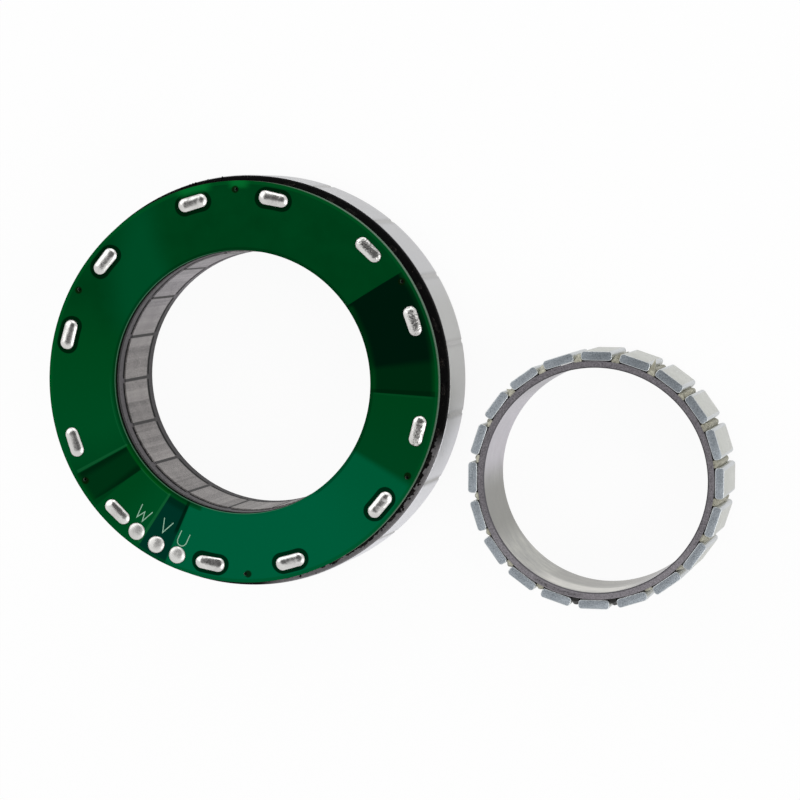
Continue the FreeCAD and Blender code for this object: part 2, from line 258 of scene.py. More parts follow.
def stack_outlines(outer, grooved, inner, slot_half):
    """The stamped outline: outside, with its weld grooves if it has them, and bore with its slots."""
    outside, bore = [], []
    groove = math.degrees(GROOVE_HALF / STACK_RADIUS)
    groove_walls = ((-groove, 0), (-groove * 0.9, GROOVE_DEPTH), (groove * 0.9, GROOVE_DEPTH), (groove, 0))
    slot = math.degrees(slot_half / inner)
    slot_wall = [(inner, slot_half), (BORE_RADIUS + SHOE_TIP, slot_half),
                 (BORE_RADIUS + SHOE_DEPTH, SLOT_ROOT_HALF), (SLOT_BACK, SLOT_BACK_HALF)]
    for k in range(SLOTS):
        start = k * PITCH
        for i in range(1, ARC_STEPS):
            degrees = start + i * PITCH / ARC_STEPS
            if abs(i - ARC_STEPS // 2) > 1 or not grooved:
                outside.append(polar(outer, degrees))
            elif i == ARC_STEPS // 2:
                outside += [polar(outer - depth, degrees + turn) for turn, depth in groove_walls]
        outside.append(polar(outer, start + PITCH))
        for x, y in [(x, -y) for x, y in slot_wall] + slot_wall[::-1]:
            bore.append(polar(math.hypot(x, y), start + math.degrees(math.atan2(y, x))))
        bore += [polar(inner, start + slot + i * (PITCH - 2 * slot) / FACE_STEPS) for i in range(1, FACE_STEPS)]
    return outside, bore


stack_mesh = punched("lamination_stack", stack_outlines(STACK_RADIUS, True, BORE_RADIUS, SLOT_HALF_WIDTH), [
    (STACK_BOTTOM, STACK_EDGE, 0.0), (STACK_BOTTOM + STACK_EDGE, 0.0, 0.0),
    (STACK_TOP - STACK_EDGE, 0.0, 0.0), (STACK_TOP, STACK_EDGE, 0.0),
])

steel, place = new_finish("stack_steel", Metallic=0.85)
radius, angle, height = round_axis(place)
sheets = (height * (2 * math.pi / SHEET)).maths("SINE")
streaks = grain(stretched(place, 0.5, 0.5, 7.0), 1.0, 4.0)
cloudy = grain(place, 0.22, 2.0)
rust = grain(place, 3.4, 5.0, 0.9)
in_bore = 1 - radius.above(BORE_REACH, 1.0)

shine = streaks * 0.14 + cloudy * 0.1 + sheets * 0.02
plain = shine.tint(paint(186, 186, 188), paint(216, 216, 216))
# A painted glare: the outside is lighter and bluer from 285° to 350°, where the light falls on it.
glare_band = angle.within(285, 350, 16)
plain = glare_band.tint(plain, shine.tint(paint(216, 216, 221), paint(240, 240, 244)))
# Painted shade: the outside is darker from about 350° to 27°.
shaded_band = ((angle + 90) % 360.0).within(80, 117, 16)
plain = (shaded_band * 0.75).tint(plain, paint(174, 174, 171))
from_seam = abs((angle % PITCH) - PITCH / 2) * (DEGREE * STACK_RADIUS)
heated = (1 - (from_seam + (streaks - 0.5) * 0.8).above(0.95, 1.0)) * (1 - in_bore)
plain = (heated * 0.38).tint(plain, paint(160, 159, 158))

wavy = angle + (cloudy - 0.5) * 0.8
strip_tone = striped(wavy, 4 / 20)
thin_tone = striped(wavy, 0.93)
bore_mix = (streaks * 0.3 + (rust - 0.5) * 2.6 + cloudy * 0.3 + sheets * 0.06
            + (strip_tone - 0.5) * 0.26 + (thin_tone - 0.5) * 0.16 + 0.28)
bore_steel = bore_mix.tint(paint(52, 50, 52), paint(184, 179, 177))
# A painted sheen: the bore is lighter and a little lavender from 92° to 150°, where light falls into it.
bore_sheen = angle.within(92, 150, 50) * 0.45
bore_steel = bore_sheen.tint(bore_steel, bore_mix.tint(paint(120, 116, 124), paint(206, 201, 210)))
rear_edge = (1 - (height + (rust - 0.5) * 1.6).above(STACK_BOTTOM + 0.45, 0.25)) * in_bore
bore_steel = (rear_edge * 0.8).tint(bore_steel, paint(40, 38, 40))
lay(steel, sheets * 0.5 + streaks + rust * in_bore, 0.02, Base_Color=in_bore.tint(plain, bore_steel),
    Roughness=0.34 + streaks * 0.14 + in_bore * 0.16 + heated * 0.06)
add_piece("lamination_stack", stack_mesh, steel, "lamination_steel", "stator_core")


# Weld seams: eighteen thin beads, drawn down the grooves behind the teeth by a welding torch, which hold
# the laminations together. They are dull from the heat and stop just short of both ends.
SEAM_BOTTOM = 4.8
SEAM_TOP = 20.9
SEAM_FOOT = 46.8
SEAM_SEAT = 46.86
SEAM_HALF = 0.44
SEAM_CROWN = 0.115
SEAM_RIPPLE = 0.015
SEAM_WAVES = 190
SEAM_STEPS = 70


def make_seams():
    form = bmesh.new()
    for k in range(SLOTS):
        rows = []
        for i in range(SEAM_STEPS + 1):
            share = i / SEAM_STEPS
            z = SEAM_BOTTOM + (SEAM_TOP - SEAM_BOTTOM) * share
            ripple = 0.5 + 0.5 * math.sin(share * SEAM_WAVES)
            end = min(1.0, 12 * share, 12 * (1 - share))
            outline = []
            for j in range(7):
                across = j / 3 - 1
                crown = (0.9 + 0.1 * (1 - across * across)) * (SEAM_CROWN + SEAM_RIPPLE * ripple) * end
                wander = 0.02 * noise.noise(Vector((k * 3.1, z * 0.7, across)))
                outline.append((SEAM_SEAT + crown, across * SEAM_HALF + wander))
            outline += [(SEAM_FOOT, SEAM_HALF), (SEAM_FOOT, -SEAM_HALF)]
            spots = [polar(away, (k + 0.5) * PITCH + math.degrees(side / STACK_RADIUS)) for away, side in outline]
            rows.append([point(form, x, y, z) for x, y in spots])
        skin(form, rows)
    return settle("weld_seams", form)


burnt, place = new_finish("burnt_weld", Metallic=0.7)
scale = grain(place, 1.6, 4.0)
lay(burnt, scale, 0.03, Base_Color=scale.above(0.5, 0.5).tint(paint(168, 167, 166), paint(186, 185, 184)),
    Roughness=0.36 + scale * 0.15)
add_piece("weld_seams", make_seams(), burnt, "lamination_steel", sharp=70)


# End insulators: a thin plate of black moulding on each end of the stack, cut like the laminations. The
# front one shows as a dark edge over each tooth in the bore, and as a ledge round the outside, where a
# skin of varnish carries it nearly to the edge of the steel and is rubbed off over part of the way.
LEDGE_RADIUS = 46.86
LEDGE = 22.75
LEDGE_EDGE = 0.2
LEDGE_DRAW = 0.25
CAP_RADIUS = 29.85
CAP_HALF_GAP = 0.55


def dress(node, finish):
    """Give a finish to a node that keeps its own mesh."""
    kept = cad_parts[node].data.materials
    kept.clear()
    kept.append(finish)


moulded, place = new_finish("black_moulding", Specular_IOR_Level=0.08)
radius, angle, _ = round_axis(place)
ragged = grain(place, 0.8, 3.0, 0.6)
bare = (radius - (ragged - 0.5) * 3.0).above(45.85, 0.25) * angle.within(276, 342, 8.0)
specks = grain(place, 2.4, 5.0, 0.7)
smears = grain(place, 0.5, 3.0)
dusty = smears.above(0.66, 0.2) * specks.above(0.55, 0.2)
black = (dusty * 0.5).tint(paint(7, 7, 7), paint(58, 54, 52))
lay(moulded, specks, 0.05, Base_Color=bare.tint(black, specks.tint(paint(92, 90, 92), paint(154, 151, 153))),
    Roughness=0.5 + specks * 0.25)
plate = punched("front_plate", stack_outlines(LEDGE_RADIUS, False, CAP_RADIUS, CAP_HALF_GAP), [
    (STACK_TOP, 0.0, 0.0), (LEDGE - LEDGE_EDGE, 0.0, 0.0), (LEDGE, LEDGE_DRAW, 0.0),
])
add_piece("front_plate", plate, moulded, "black_insulator", "front_insulator")
dress("rear_insulator", moulded)


# Coils: enamelled copper wire, wound in layers round each insulated tooth and dipped in varnish. The
# casting seals them in, so that no wire is seen from outside.
WIRE = 0.63

copper, place = new_finish("varnished_copper", Metallic=0.75, Coat_Weight=0.4)
turns = (axes(place)[2] * (2 * math.pi / WIRE)).maths("SINE")
dip = grain(place, 0.6, 3.0)
lay(copper, turns, 0.2, Base_Color=(turns * 0.3 + dip * 0.6).tint(paint(120, 52, 26), paint(196, 112, 62)),
    Roughness=0.28 + dip * 0.2)
for number in range(1, SLOTS + 1):
    dress(f"coil_{number:02d}", copper)


# Casting: filled epoxy, cast under vacuum round the coils, through the slots and up to the board. It is a
# dull purple grey with small pores where the mould touched it, browner at the rim, and near black in the
# groove below the rim. In the bore it has painted shadow under the board and painted light at its far end.
RESIN_BOTTOM = 4.1
RESIN_TOP = 25.6
RIM_BOTTOM = 25.95
RIM_GROOVE = 44.6
BORE_LIP = 31.0

resin, place = new_finish("cast_resin", Specular_IOR_Level=0.35)
radius, angle, height = round_axis(place)
filler = grain(place, 3.0, 5.0, 0.7)
flow = grain(place, 0.35, 3.0)
cells = place.node("TexVoronoi", {}, {"Vector": place, "Scale": 0.9})
pores = (1 - cells.above(0.2, 0.08)) * flow.above(0.46, 0.1)
body_tone = (filler * 0.7 + flow * 0.3).tint(paint(50, 47, 51), paint(130, 126, 130))
rim_tone = (filler * 0.6 + flow * 0.4).tint(paint(62, 54, 52), paint(104, 96, 92))
tone = radius.above(36.0, 2.0).tint(body_tone, rim_tone)
tone = (pores * 0.8).tint(tone, paint(22, 20, 21))
slot_fill = (1 - radius.above(BORE_RADIUS + 0.15, 0.1)) * height.within(4.0, 21.7, 0.2)
tone = slot_fill.tint(tone, filler.tint(paint(26, 25, 26), paint(74, 72, 72)))
groove = radius.above(RIM_GROOVE, 0.1) * (1 - height.above(RIM_BOTTOM - 0.05, 0.1)) * height.above(22.0, 0.5)
tone = groove.tint(tone, (filler * 0.5).tint(paint(12, 11, 12), paint(34, 31, 30)))
# Painted shadow: the casting in the bore is near black just under the board, in the gap between them.
under_board_shadow = (height + (filler - 0.5) * 1.1).above(RESIN_TOP, 0.2) * (1 - radius.above(BORE_LIP, 0.2))
tone = under_board_shadow.tint(tone, paint(14, 14, 14))
rear_lip = (1 - (height + (filler - 0.5) * 0.8).above(RESIN_BOTTOM, 0.3)) * (1 - radius.above(BORE_LIP, 0.2))
# The casting's lip at the far end of the bore: painted light from 85° to 142°, where light reaches into the bore,
# and dark at other angles.
lip_lit_tone = angle.within(85, 142, 18).tint(paint(52, 49, 50), paint(136, 132, 138))
tone = (rear_lip * 0.75).tint(tone, lip_lit_tone)
lay(resin, filler * 0.4 - pores, 0.12, Base_Color=tone, Roughness=0.55 + filler * 0.25)
dress("casting_resin", resin)


# Spilled resin: what ran out of the mould's joint and set on the ledge, as dark lumps and chips along the
# foot of the groove. It is never cleaned off, because the housing hides it.
LUMP_MIDDLE = 45.35
LUMP_LIMIT = 46.75
LEDGE_MIDDLE = 45.0
LUMPS = ((-43, 1.5), (-34, 1.2), (-30, 0.8), (-23, 1.3), (-15, 1.0), (-2.5, 1.4), (5, 1.2), (16, 1.6), (28, 0.9),
         (41, 1.0), (57, 1.5), (64, 1.0), (77, 1.4), (93, 1.0), (108, 1.3), (124, 0.8), (141, 1.2), (163, 1.0),
         (187, 1.3), (204, 0.9), (223, 1.2), (246, 1.0), (262, 1.5), (281, 1.2), (296, 0.9), (306, 1.3))
random.seed(11)
CHIPS = [(random.uniform(0, 360), random.uniform(0.12, 0.42), random.uniform(45.6, 46.7)) for _ in range(90)]
CHIPS += [(random.uniform(88, 128), random.uniform(0.15, 0.4), random.uniform(46.2, 46.75)) for _ in range(40)]


def make_lumps():
    form = bmesh.new()
    for degrees, size, away in CHIPS:
        lying = Matrix.Rotation(degrees * 0.7, 4, "Z") @ Matrix.Diagonal((size, size * 0.7, size * 0.55, 1))
        where = Matrix.Translation((*polar(away, degrees), LEDGE)) @ lying
        for vert in bmesh.ops.create_icosphere(form, subdivisions=1, radius=1.0, matrix=where)["verts"]:
            vert.co *= MM
    for degrees, width in LUMPS:
        for vert in bmesh.ops.create_icosphere(form, subdivisions=3, radius=1.0)["verts"]:
            spot = Vector(vert.co)
            rough = 1 + 0.35 * noise.noise(spot * 1.7 + Vector((degrees, 0, 0))) + 0.12 * noise.noise(spot * 6)
            along, out, up = spot.y * width * 1.1 * rough, spot.x * 0.75 * rough, spot.z * 0.5 * rough
            away = min(LUMP_MIDDLE + out, LUMP_LIMIT)
            rise = max(LEDGE - 0.1 + up, LEDGE - 0.3)
            around = math.radians(degrees) + along / LEDGE_MIDDLE
            vert.co = (away * math.cos(around) * MM, away * math.sin(around) * MM, rise * MM)
    return settle("spilled_resin", form, turn_out=False)


spill, place = new_finish("dark_spill", Specular_IOR_Level=0.1)
lumpy = grain(place, 1.8, 5.0, 0.7)
lay(spill, lumpy, 0.15, Base_Color=lumpy.above(0.58, 0.16).tint(paint(6, 5, 5), paint(50, 44, 40)),
    Roughness=0.5 + lumpy * 0.3)
add_piece("spilled_resin", make_lumps(), spill, "casting_resin", sharp=60)


# Circuit board: a ring of glass-fibre laminate under green lacquer, laid on the casting. Areas of thick
# copper show through as lighter fields for the three phases. The outer rim and the small vent holes are
# cut and show bare, pale fibre, and the wall of the bore through it is painted near black as shadow. The
# lacquer also carries painted light and shade: a streak of light, highlights on the cut edges and along the
# steps of the fields, and shade in the sunken fields and round the joints.
BOARD_OUTSIDE = 45.7
BOARD_INSIDE = 29.9
BOARD_BOTTOM = 26.95
BOARD_TOP = 28.55
BOARD_EDGE = 0.1
VENTS = (31.06, 90.71, 150.79, 210.72, 270.22, 330.54)
VENT_RADIUS = 43.73
VENT_HOLE = 0.42
RIM_POINTS = 720
SIXTH = 60.0
JOINTS = 12
JOINT_RADIUS = 42.15
JOINT_MIDDLE = 31.9
JOINT_SPREAD = 12.95
JOINT_HALF_RUN = 1.9
JOINT_HALF_WIDTH = 1.65
PAD_RADIUS = 42.6
PAD_ANGLES = {"w": 233.35, "v": 240.75, "u": 248.15}
FIELD_EDGE = 0.35
POUR_START = 31.2
WEAVE = 9
LAYERS = 28


def board_outlines():
    outside, inside = ([polar(radius, 360 * i / RIM_POINTS) for i in range(RIM_POINTS)]
                       for radius in (BOARD_OUTSIDE, BOARD_INSIDE))
    holes = []
    for degrees in VENTS:
        cx, cy = polar(VENT_RADIUS, degrees)
        turns = [i * math.pi / 12 for i in range(24)]
        holes.append([(cx + VENT_HOLE * math.cos(turn), cy + VENT_HOLE * math.sin(turn)) for turn in turns])
    return [outside, inside] + holes


def from_nearest(angle, first):
    """Degrees to the nearest of the six places that stand evenly round the board from a first one."""
    return abs(((angle - first + SIXTH / 2) % SIXTH) - SIXTH / 2)


lacquer, place = new_finish("green_lacquer", Specular_IOR_Level=0.0)
radius, angle, height = round_axis(place)
signed = ((angle + 180) % 360.0) - 180
mottle = grain(place, 0.16, 2.0)
fine = grain(place, 4.0, 4.0)
east, north, _ = axes(place)
weave = (east * WEAVE).maths("SINE") * (north * WEAVE).maths("SINE")
mid_ring = radius.within(30.8, 44.4, 0.3)

fields = (mottle * 0.9).tint(paint(0, 56, 22), paint(0, 70, 31))
# A painted streak of light over the lacquer, from about 121° to 157°.
light_streak = (angle + (radius - 37) * 0.4).above(121, 11) * (1 - (angle + (radius - 31) * 2.1).above(157, 24))
fields = light_streak.tint(fields, paint(0, 76, 39))
left_pour = angle.above(180, 40).tint(paint(0, 73, 30), paint(0, 78, 36))
fields = (angle.within(158, 207, 24) * 0.85).tint(fields, left_pour)

bend = (radius - 30) * 0.09
fields = (signed + bend).within(-40, 34.75, FIELD_EDGE).tint(fields, paint(0, 24, 12))
shaded = signed.above(5.9, 3.0)
fields = (signed.within(-4.4, 90, FIELD_EDGE) * (1 - shaded)).tint(fields, paint(0, 40, 16))
bright_edge = radius.above(44.4, 1.8) + (1 - radius.above(30.9, 1.8))
lit_end = 0.35 + 0.65 * (1 - signed.above(6.0, 12.0)) + 0.5 * signed.above(30.0, 6.0)
fields = (signed.within(-4.4, 33.6, 2.0) * bright_edge * lit_end * 0.75).tint(fields, paint(0, 74, 26))
right_pour = signed.above(-17, 26.0).tint(paint(0, 67, 31), paint(0, 65, 27))
fields = signed.within(-40, -4.3, FIELD_EDGE).tint(fields, right_pour)
lower_pour = angle.above(312, 30.0).tint(paint(0, 94, 60), paint(0, 90, 55))
fields = angle.within(245, 329, 3.0).tint(fields, lower_pour)

inner_strip = angle.within(236.2, 251, 1.5) * (1 - radius.above(31.1, 0.3)) * 0.8
fields = inner_strip.tint(fields, paint(0, 70, 28))
middle_pour = radius.above(32.8, 1.4).tint(paint(0, 42, 28), paint(0, 52, 39))
fields = (angle.within(236.3, 245.4, FIELD_EDGE) * radius.above(POUR_START, 0.5)).tint(fields, middle_pour)
pad_pour = angle.above(228, 14.0).tint(paint(0, 71, 30), paint(0, 77, 36))
fields = angle.within(219, 236.2, FIELD_EDGE).tint(fields, pad_pour)
recess = angle.above(208.2, 0.6) * (1 - (angle + (radius - 31.6) * 0.18).above(219.6, 0.6))
# Painted shade of the step walls: the sunken field is darker near both of its side edges.
fields = recess.tint(fields, abs(angle - 213.6).above(3.6, 2.4).tint(paint(0, 50, 21), paint(0, 36, 15)))
fields = (angle.within(207.8, 236.2, 0.6) * (1 - radius.above(POUR_START, 0.3))).tint(fields, paint(0, 76, 22))
fields = (recess * bright_edge * 0.7).tint(fields, paint(0, 72, 24))

# A painted highlight along the step at the inner edge of the copper fields, at r 31.0 to 31.25.
inner_step_highlight = radius.within(31.0, 31.25, 0.12) * (angle.within(219, 236, 0.4) + angle.within(180, 207.4, 12) * 0.6)
fields = (inner_step_highlight * 0.4).tint(fields, paint(30, 108, 62))
step_light = (angle.within(207.1, 208.0, 0.3) * 0.75 + angle.within(235.3, 236.3, 0.3) * 0.9
              + signed.within(-5.0, -4.4, 0.3) * 0.2)
fields = (step_light * mid_ring * 0.4).tint(fields, paint(34, 112, 66))
step_shade = angle.within(244.2, 245.6, 0.4) * (1 - radius.above(38.0, 2.0)) + signed.within(-4.3, -2.8, 0.5) * 0.6
fields = (step_shade * 0.7).tint(fields, paint(0, 22, 8))

run = abs((from_nearest(angle, JOINT_MIDDLE) - JOINT_SPREAD) * DEGREE * radius) - JOINT_HALF_RUN
from_joint = length(run.maths("MAXIMUM", 0.0), radius - JOINT_RADIUS) - JOINT_HALF_WIDTH
isolated = angle.within(60, 180, 1.0) + angle.within(250, 332, 1.0)
# A dark ring round each solder joint: partly the clearance in the lacquer, partly painted shade round the drop.
clearance_and_shade = (1 - from_joint.above(0.82, 0.22)) * isolated
fields = (clearance_and_shade * 0.9).tint(fields, paint(0, 24, 9))
rim_light = angle.within(40, 200, 50).tint(paint(0, 78, 34), paint(0, 86, 34))
fields = (radius.above(44.9, 0.3) * 0.5).tint(fields, rim_light)
glint = radius.above(44.1, 1.2) * (angle.within(99, 108, 4.0) + angle.within(87.5, 92.5, 3.0))
fields = (glint * 0.55).tint(fields, paint(8, 122, 52))
# The pale cut fibre on the outer edge is painted only on the right-hand side, stronger above 20°, as a painted
# highlight.
cut_edge_highlight = radius.above(45.56, 0.1) * signed.within(-50, 70, 30) * (0.45 + 0.3 * signed.above(20, 10))
fields = cut_edge_highlight.tint(fields, paint(100, 130, 110))
from_vent = length(from_nearest(angle, VENTS[0]) * DEGREE * radius, radius - VENT_RADIUS)
fields = (from_vent.within(-1.0, 0.82, 0.35) * 0.88).tint(fields, paint(10, 24, 5))
mouth = radius.within(BOARD_INSIDE + 0.1, BOARD_INSIDE + 0.75, 0.15) * (0.45 - angle.within(250, 304, 4) * 0.4)
fields = mouth.tint(fields, paint(0, 40, 14))
# The pale cut fibre on the inner edge is painted only from 95° to 290°, as a painted highlight.
lip = (1 - radius.above(BOARD_INSIDE + 0.14, 0.06)) * angle.within(95, 290, 30)
fields = (lip * 0.55).tint(fields, paint(96, 142, 118))

side = 1 - height.above(BOARD_TOP - BOARD_EDGE, 0.04)
layers = (height * LAYERS).maths("SINE")
fields = side.tint(fields, (fine * 0.6 + layers * 0.15).tint(paint(88, 110, 94), paint(146, 166, 150)))
# Painted shadow: the wall of the bore through the board is near black, darker towards the bottom.
hole_wall_shadow = height.above(BOARD_TOP - 0.75, 0.5).tint(paint(10, 12, 10), paint(30, 64, 38))
fields = (side * (1 - radius.above(31.0, 0.5))).tint(fields, hole_wall_shadow)
sunken = signed.within(-4.2, 34.4, FIELD_EDGE) + recess + clearance_and_shade
lay(lacquer, (1 - sunken) + weave * 0.03 + fine * 0.04, 0.06, Base_Color=fields,
    Roughness=0.26 + fine * 0.12 + side * 0.3)
board_mesh = punched("printed_board", board_outlines(), [
    (BOARD_BOTTOM, BOARD_EDGE, BOARD_EDGE), (BOARD_BOTTOM + BOARD_EDGE, 0.0, 0.0),
    (BOARD_TOP - BOARD_EDGE, 0.0, 0.0), (BOARD_TOP, BOARD_EDGE, BOARD_EDGE),
])
add_piece("printed_board", board_mesh, lacquer, "board_laminate", "circuit_board")


# Phase letters: the letters of the three phases in thin pale ink, printed on the lacquer beside their
# pads and a little worn.
STROKES = {
    "w": [(-1.5, 1.6), (-0.8, -1.6), (0.0, 0.5), (0.8, -1.6), (1.5, 1.6)],
    "v": [(-1.2, 1.6), (0.0, -1.6), (1.2, 1.6)],
    "u": [(-1.1, 1.7), (-1.1, -0.6), (-0.8, -1.3), (-0.3, -1.6), (0.3, -1.6), (0.8, -1.3), (1.1, -0.6), (1.1, 1.7)],
}
LETTER_SPOTS = {"w": (38.3, 231.8), "v": (37.8, 240.8), "u": (38.7, 248.1)}
LETTER_LEANS = {"w": 0, "v": 0, "u": 4}
PEN = 0.11
INK = 0.02


def turned(x, y, degrees, centre=(0.0, 0.0)):
    """A place turned about the origin and then moved to a centre."""
    turn = math.radians(degrees)
    return (centre[0] + x * math.cos(turn) - y * math.sin(turn),
            centre[1] + x * math.sin(turn) + y * math.cos(turn))


def make_letter(letter):
    """One letter as a thin closed print along its stroke."""
    form = bmesh.new()
    away, degrees = LETTER_SPOTS[letter]
    path = [Vector(place) for place in STROKES[letter]]
    rows = []
    for i, here in enumerate(path):
        before = (here - path[i - 1]).normalized() if i else (path[1] - here).normalized()
        after = (path[i + 1] - here).normalized() if i + 1 < len(path) else before
        mitre = Vector((-before.y - after.y, before.x + after.x)).normalized()
        reach = PEN / max(0.3, mitre.dot(Vector((-before.y, before.x))))
        left, right = here - mitre * reach, here + mitre * reach
        row = []
        for flat, z in ((left, BOARD_TOP), (right, BOARD_TOP), (right, BOARD_TOP + INK), (left, BOARD_TOP + INK)):
            spot = turned(flat.x, flat.y, degrees + 90 - LETTER_LEANS[letter], polar(away, degrees))
            row.append(point(form, *spot, z))
        rows.append(row)
    skin(form, rows)
    return settle("phase_letter_" + letter, form)


ink, place = new_finish("letter_ink", Roughness=0.5)
patchy = grain(place, 3.0, 3.0)
lay(ink, patchy, 0.01, Base_Color=patchy.tint(paint(96, 150, 120), paint(170, 206, 184)))
for letter in STROKES:
    add_piece("phase_letter_" + letter, make_letter(letter), ink, "board_laminate")


# Solder: bright tin, run over the coil ends in twelve long drops and over the three round phase pads.
# Each drop froze a little differently, with a low crown, a wetted edge and a faint skin of ripples.
DROP_LEVELS = 12
DROP_POINTS = 48
DROP_DRAW = 0.985
DROP_FILL = 0.94
BAR_CROWN = 0.79
PAD_CROWN = 0.74
PAD_SIZE = 2.0
PAD_SEED = 20


def make_drop(form, centre, degrees, half_run, half_width, crown, seed):
    """One drop: rings drawn in from its edge over a rounded crown, with its length across the radius."""
    random.seed(seed)
    lean = random.uniform(-0.10, 0.10)
    swell = random.uniform(-0.06, 0.06)
    rings = []
    for step in range(DROP_LEVELS + 1):
        share = step / DROP_LEVELS
        rise = math.sin(share * math.pi / 2)
        reach = half_width - half_width * (1 - math.cos(share * math.pi / 2)) * DROP_DRAW
        ring = []
        for i in range(DROP_POINTS):
            around = 2 * math.pi * i / DROP_POINTS
            run = half_run if math.sin(around) >= 0 else -half_run
            across = reach * math.cos(around)
            along = run * (1 - 0.12 * step / DROP_LEVELS) + reach * math.sin(around)
            across *= 1 + swell * along / (half_run + half_width)
            across += lean * along * 0.25
            ripple = 0.08 * noise.noise(Vector((across * 0.6, along * 0.6, seed * 7.3)))
            ripple += 0.012 * noise.noise(Vector((across * 2, along * 2, seed * 1.9)))
            lift = max(0.0, min(crown, crown * rise ** 0.9 * DROP_FILL + ripple * rise))
            ring.append(point(form, *turned(centre + across, along, degrees), BOARD_TOP + lift))
        rings.append(ring)
    skin(form, rings)


tin, place = new_finish("bright_solder", Metallic=1.0)
radius, angle, _ = round_axis(place)
ripples = grain(place, 0.4, 2.0, 0.4)
pits = grain(place, 2.4, 4.0)
right_hand = (1 - angle.within(62, 332, 4.0)) * radius.above(41.6, 0.8)
frozen = grain(place, 0.3, 2.0).above(0.54, 0.1) * 0.3 + right_hand * grain(place, 0.6, 2.0).above(0.42, 0.12)
bright = (ripples * 0.7 + pits * 0.3).tint(paint(172, 170, 168), paint(236, 235, 232))
pitted = frozen * pits.above(0.54, 0.1) * 0.6
lay(tin, ripples + pits * frozen * 0.3, 0.16, Base_Color=pitted.tint(bright, paint(92, 90, 88)),
    Roughness=0.19 + pits * 0.1 + angle.within(230, 252, 0.4) * 0.16)
bars = bmesh.new()
for number in range(JOINTS):
    degrees = JOINT_MIDDLE + SIXTH * (number // 2) + (JOINT_SPREAD if number % 2 else -JOINT_SPREAD)
    make_drop(bars, JOINT_RADIUS, degrees, JOINT_HALF_RUN, JOINT_HALF_WIDTH, BAR_CROWN, number)
add_piece("solder_bars", settle("solder_bars", bars, turn_out=False), tin, "solder", "coil_joints", sharp=60)
for number, (letter, degrees) in enumerate(PAD_ANGLES.items()):
    pad = bmesh.new()
    make_drop(pad, PAD_RADIUS, degrees, 0.0, PAD_SIZE, PAD_CROWN, PAD_SEED + number)
    pad_mesh = settle("solder_pad_" + letter, pad, turn_out=False)
    add_piece("solder_pad_" + letter, pad_mesh, tin, "solder", "phase_pad_" + letter, sharp=60)


# Rotor ring: a plain steel tube, turned and faced, that carries the magnets and closes the field behind
# them. Its end is dull grey from the facing cut, and its bore is satin, ground for the shaft.
ROTOR = tuple((low + high) / 2 / MM for low, high in list(zip(*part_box("rotor_ring")))[:2])
RING_OUTSIDE = 26.759
RING_BORE = 25.239
RING_TOP = 24.0
RING_CHAMFER = 0.3
RING_STEPS = 360
END_FILM = 0.02


def make_ring():
    """The tube's closed outline, carried once round its axis."""
    form = bmesh.new()
    profile = [(RING_BORE + RING_CHAMFER, 0.0), (RING_OUTSIDE, 0.0), (RING_OUTSIDE, RING_TOP),
               (RING_BORE + RING_CHAMFER, RING_TOP), (RING_BORE, RING_TOP - RING_CHAMFER), (RING_BORE, RING_CHAMFER)]
    rings = []
    for i in range(RING_STEPS):
        spots = [(*polar(away, 360 * i / RING_STEPS), z) for away, z in profile]
        rings.append([point(form, ROTOR[0] + x, ROTOR[1] + y, z) for x, y, z in spots])
    skin(form, rings + rings[:1], ends=False)
    return settle("turned_ring", form)


ring_steel, place = new_finish("turned_steel", Metallic=0.9)
radius, angle, height = round_axis(place, ROTOR)
lathe = (radius * 42).maths("SINE")
feed = grain(stretched(place, 0.12, 0.12, 2.4), 1.0, 5.0, 0.75)
smudge = grain(place, 0.3, 4.0)
speck = grain(place, 2.8, 4.0, 0.75)

worn = (feed - 0.5) * 1.2 + (smudge - 0.5) * 0.8 + 0.5
ground = worn.tint(paint(122, 120, 125), paint(186, 183, 190))
greener = angle.within(185, 300, 60) * (0.4 + smudge)
ground = greener.tint(ground, worn.tint(paint(112, 114, 107), paint(204, 203, 195)))
# A painted highlight: a bright patch on the bore from 240° to 286°, near its open end.
front_highlight = height.within(14.5, 22.5, 3.0) * angle.within(240, 286, 14) * (0.35 + smudge * 0.5)
ground = front_highlight.tint(ground, paint(232, 229, 222))
# Painted shade: the same side of the bore is darker deeper down.
rear_shade = (1 - height.above(13.0, 5.0)) * angle.within(242, 300, 16) * 0.55
ground = rear_shade.tint(ground, paint(142, 139, 134))
ground = radius.above(RING_OUTSIDE - 0.1, 0.05).tint(ground, paint(150, 149, 150))
# Painted reflections in the bore: lighter and a little lavender from 132° to 176°, darker from 180° to 212°.
ground = (angle.within(132, 176, 14) * 0.35).tint(ground, paint(222, 216, 226))
ground = (angle.within(180, 212, 18) * 0.85).tint(ground, paint(118, 117, 110))

facing = (speck - 0.5) * 1.9 + lathe * 0.08 + 0.5 + angle.within(203, 325, 20) * 0.26
end_steel = facing.tint(paint(58, 55, 59), paint(148, 144, 149))
stained = angle.within(238, 262, 2.0) * radius.within(25.8, 26.5, 0.2) * speck.above(0.52, 0.06)
end_steel = (stained * 0.8).tint(end_steel, paint(36, 34, 36))
on_end = height.above(RING_TOP - END_FILM, 0.02)
chamfer_height = height.above(RING_TOP - RING_CHAMFER - END_FILM, 0.02)
# Painted shade: the chamfer round the top of the bore is painted darker than the steel beside it.
on_chamfer = (1 - on_end) * chamfer_height * (1 - radius.above(25.7, 0.1))
lay(ring_steel, feed * 0.4 + lathe * 0.2 * on_end + speck * 0.2, 0.02,
    Base_Color=on_chamfer.tint(on_end.tint(ground, end_steel), paint(96, 94, 98)),
    Roughness=0.32 + on_end * 0.25 + feed * 0.12)
add_piece("turned_ring", make_ring(), ring_steel, "ring_steel", "rotor_ring")


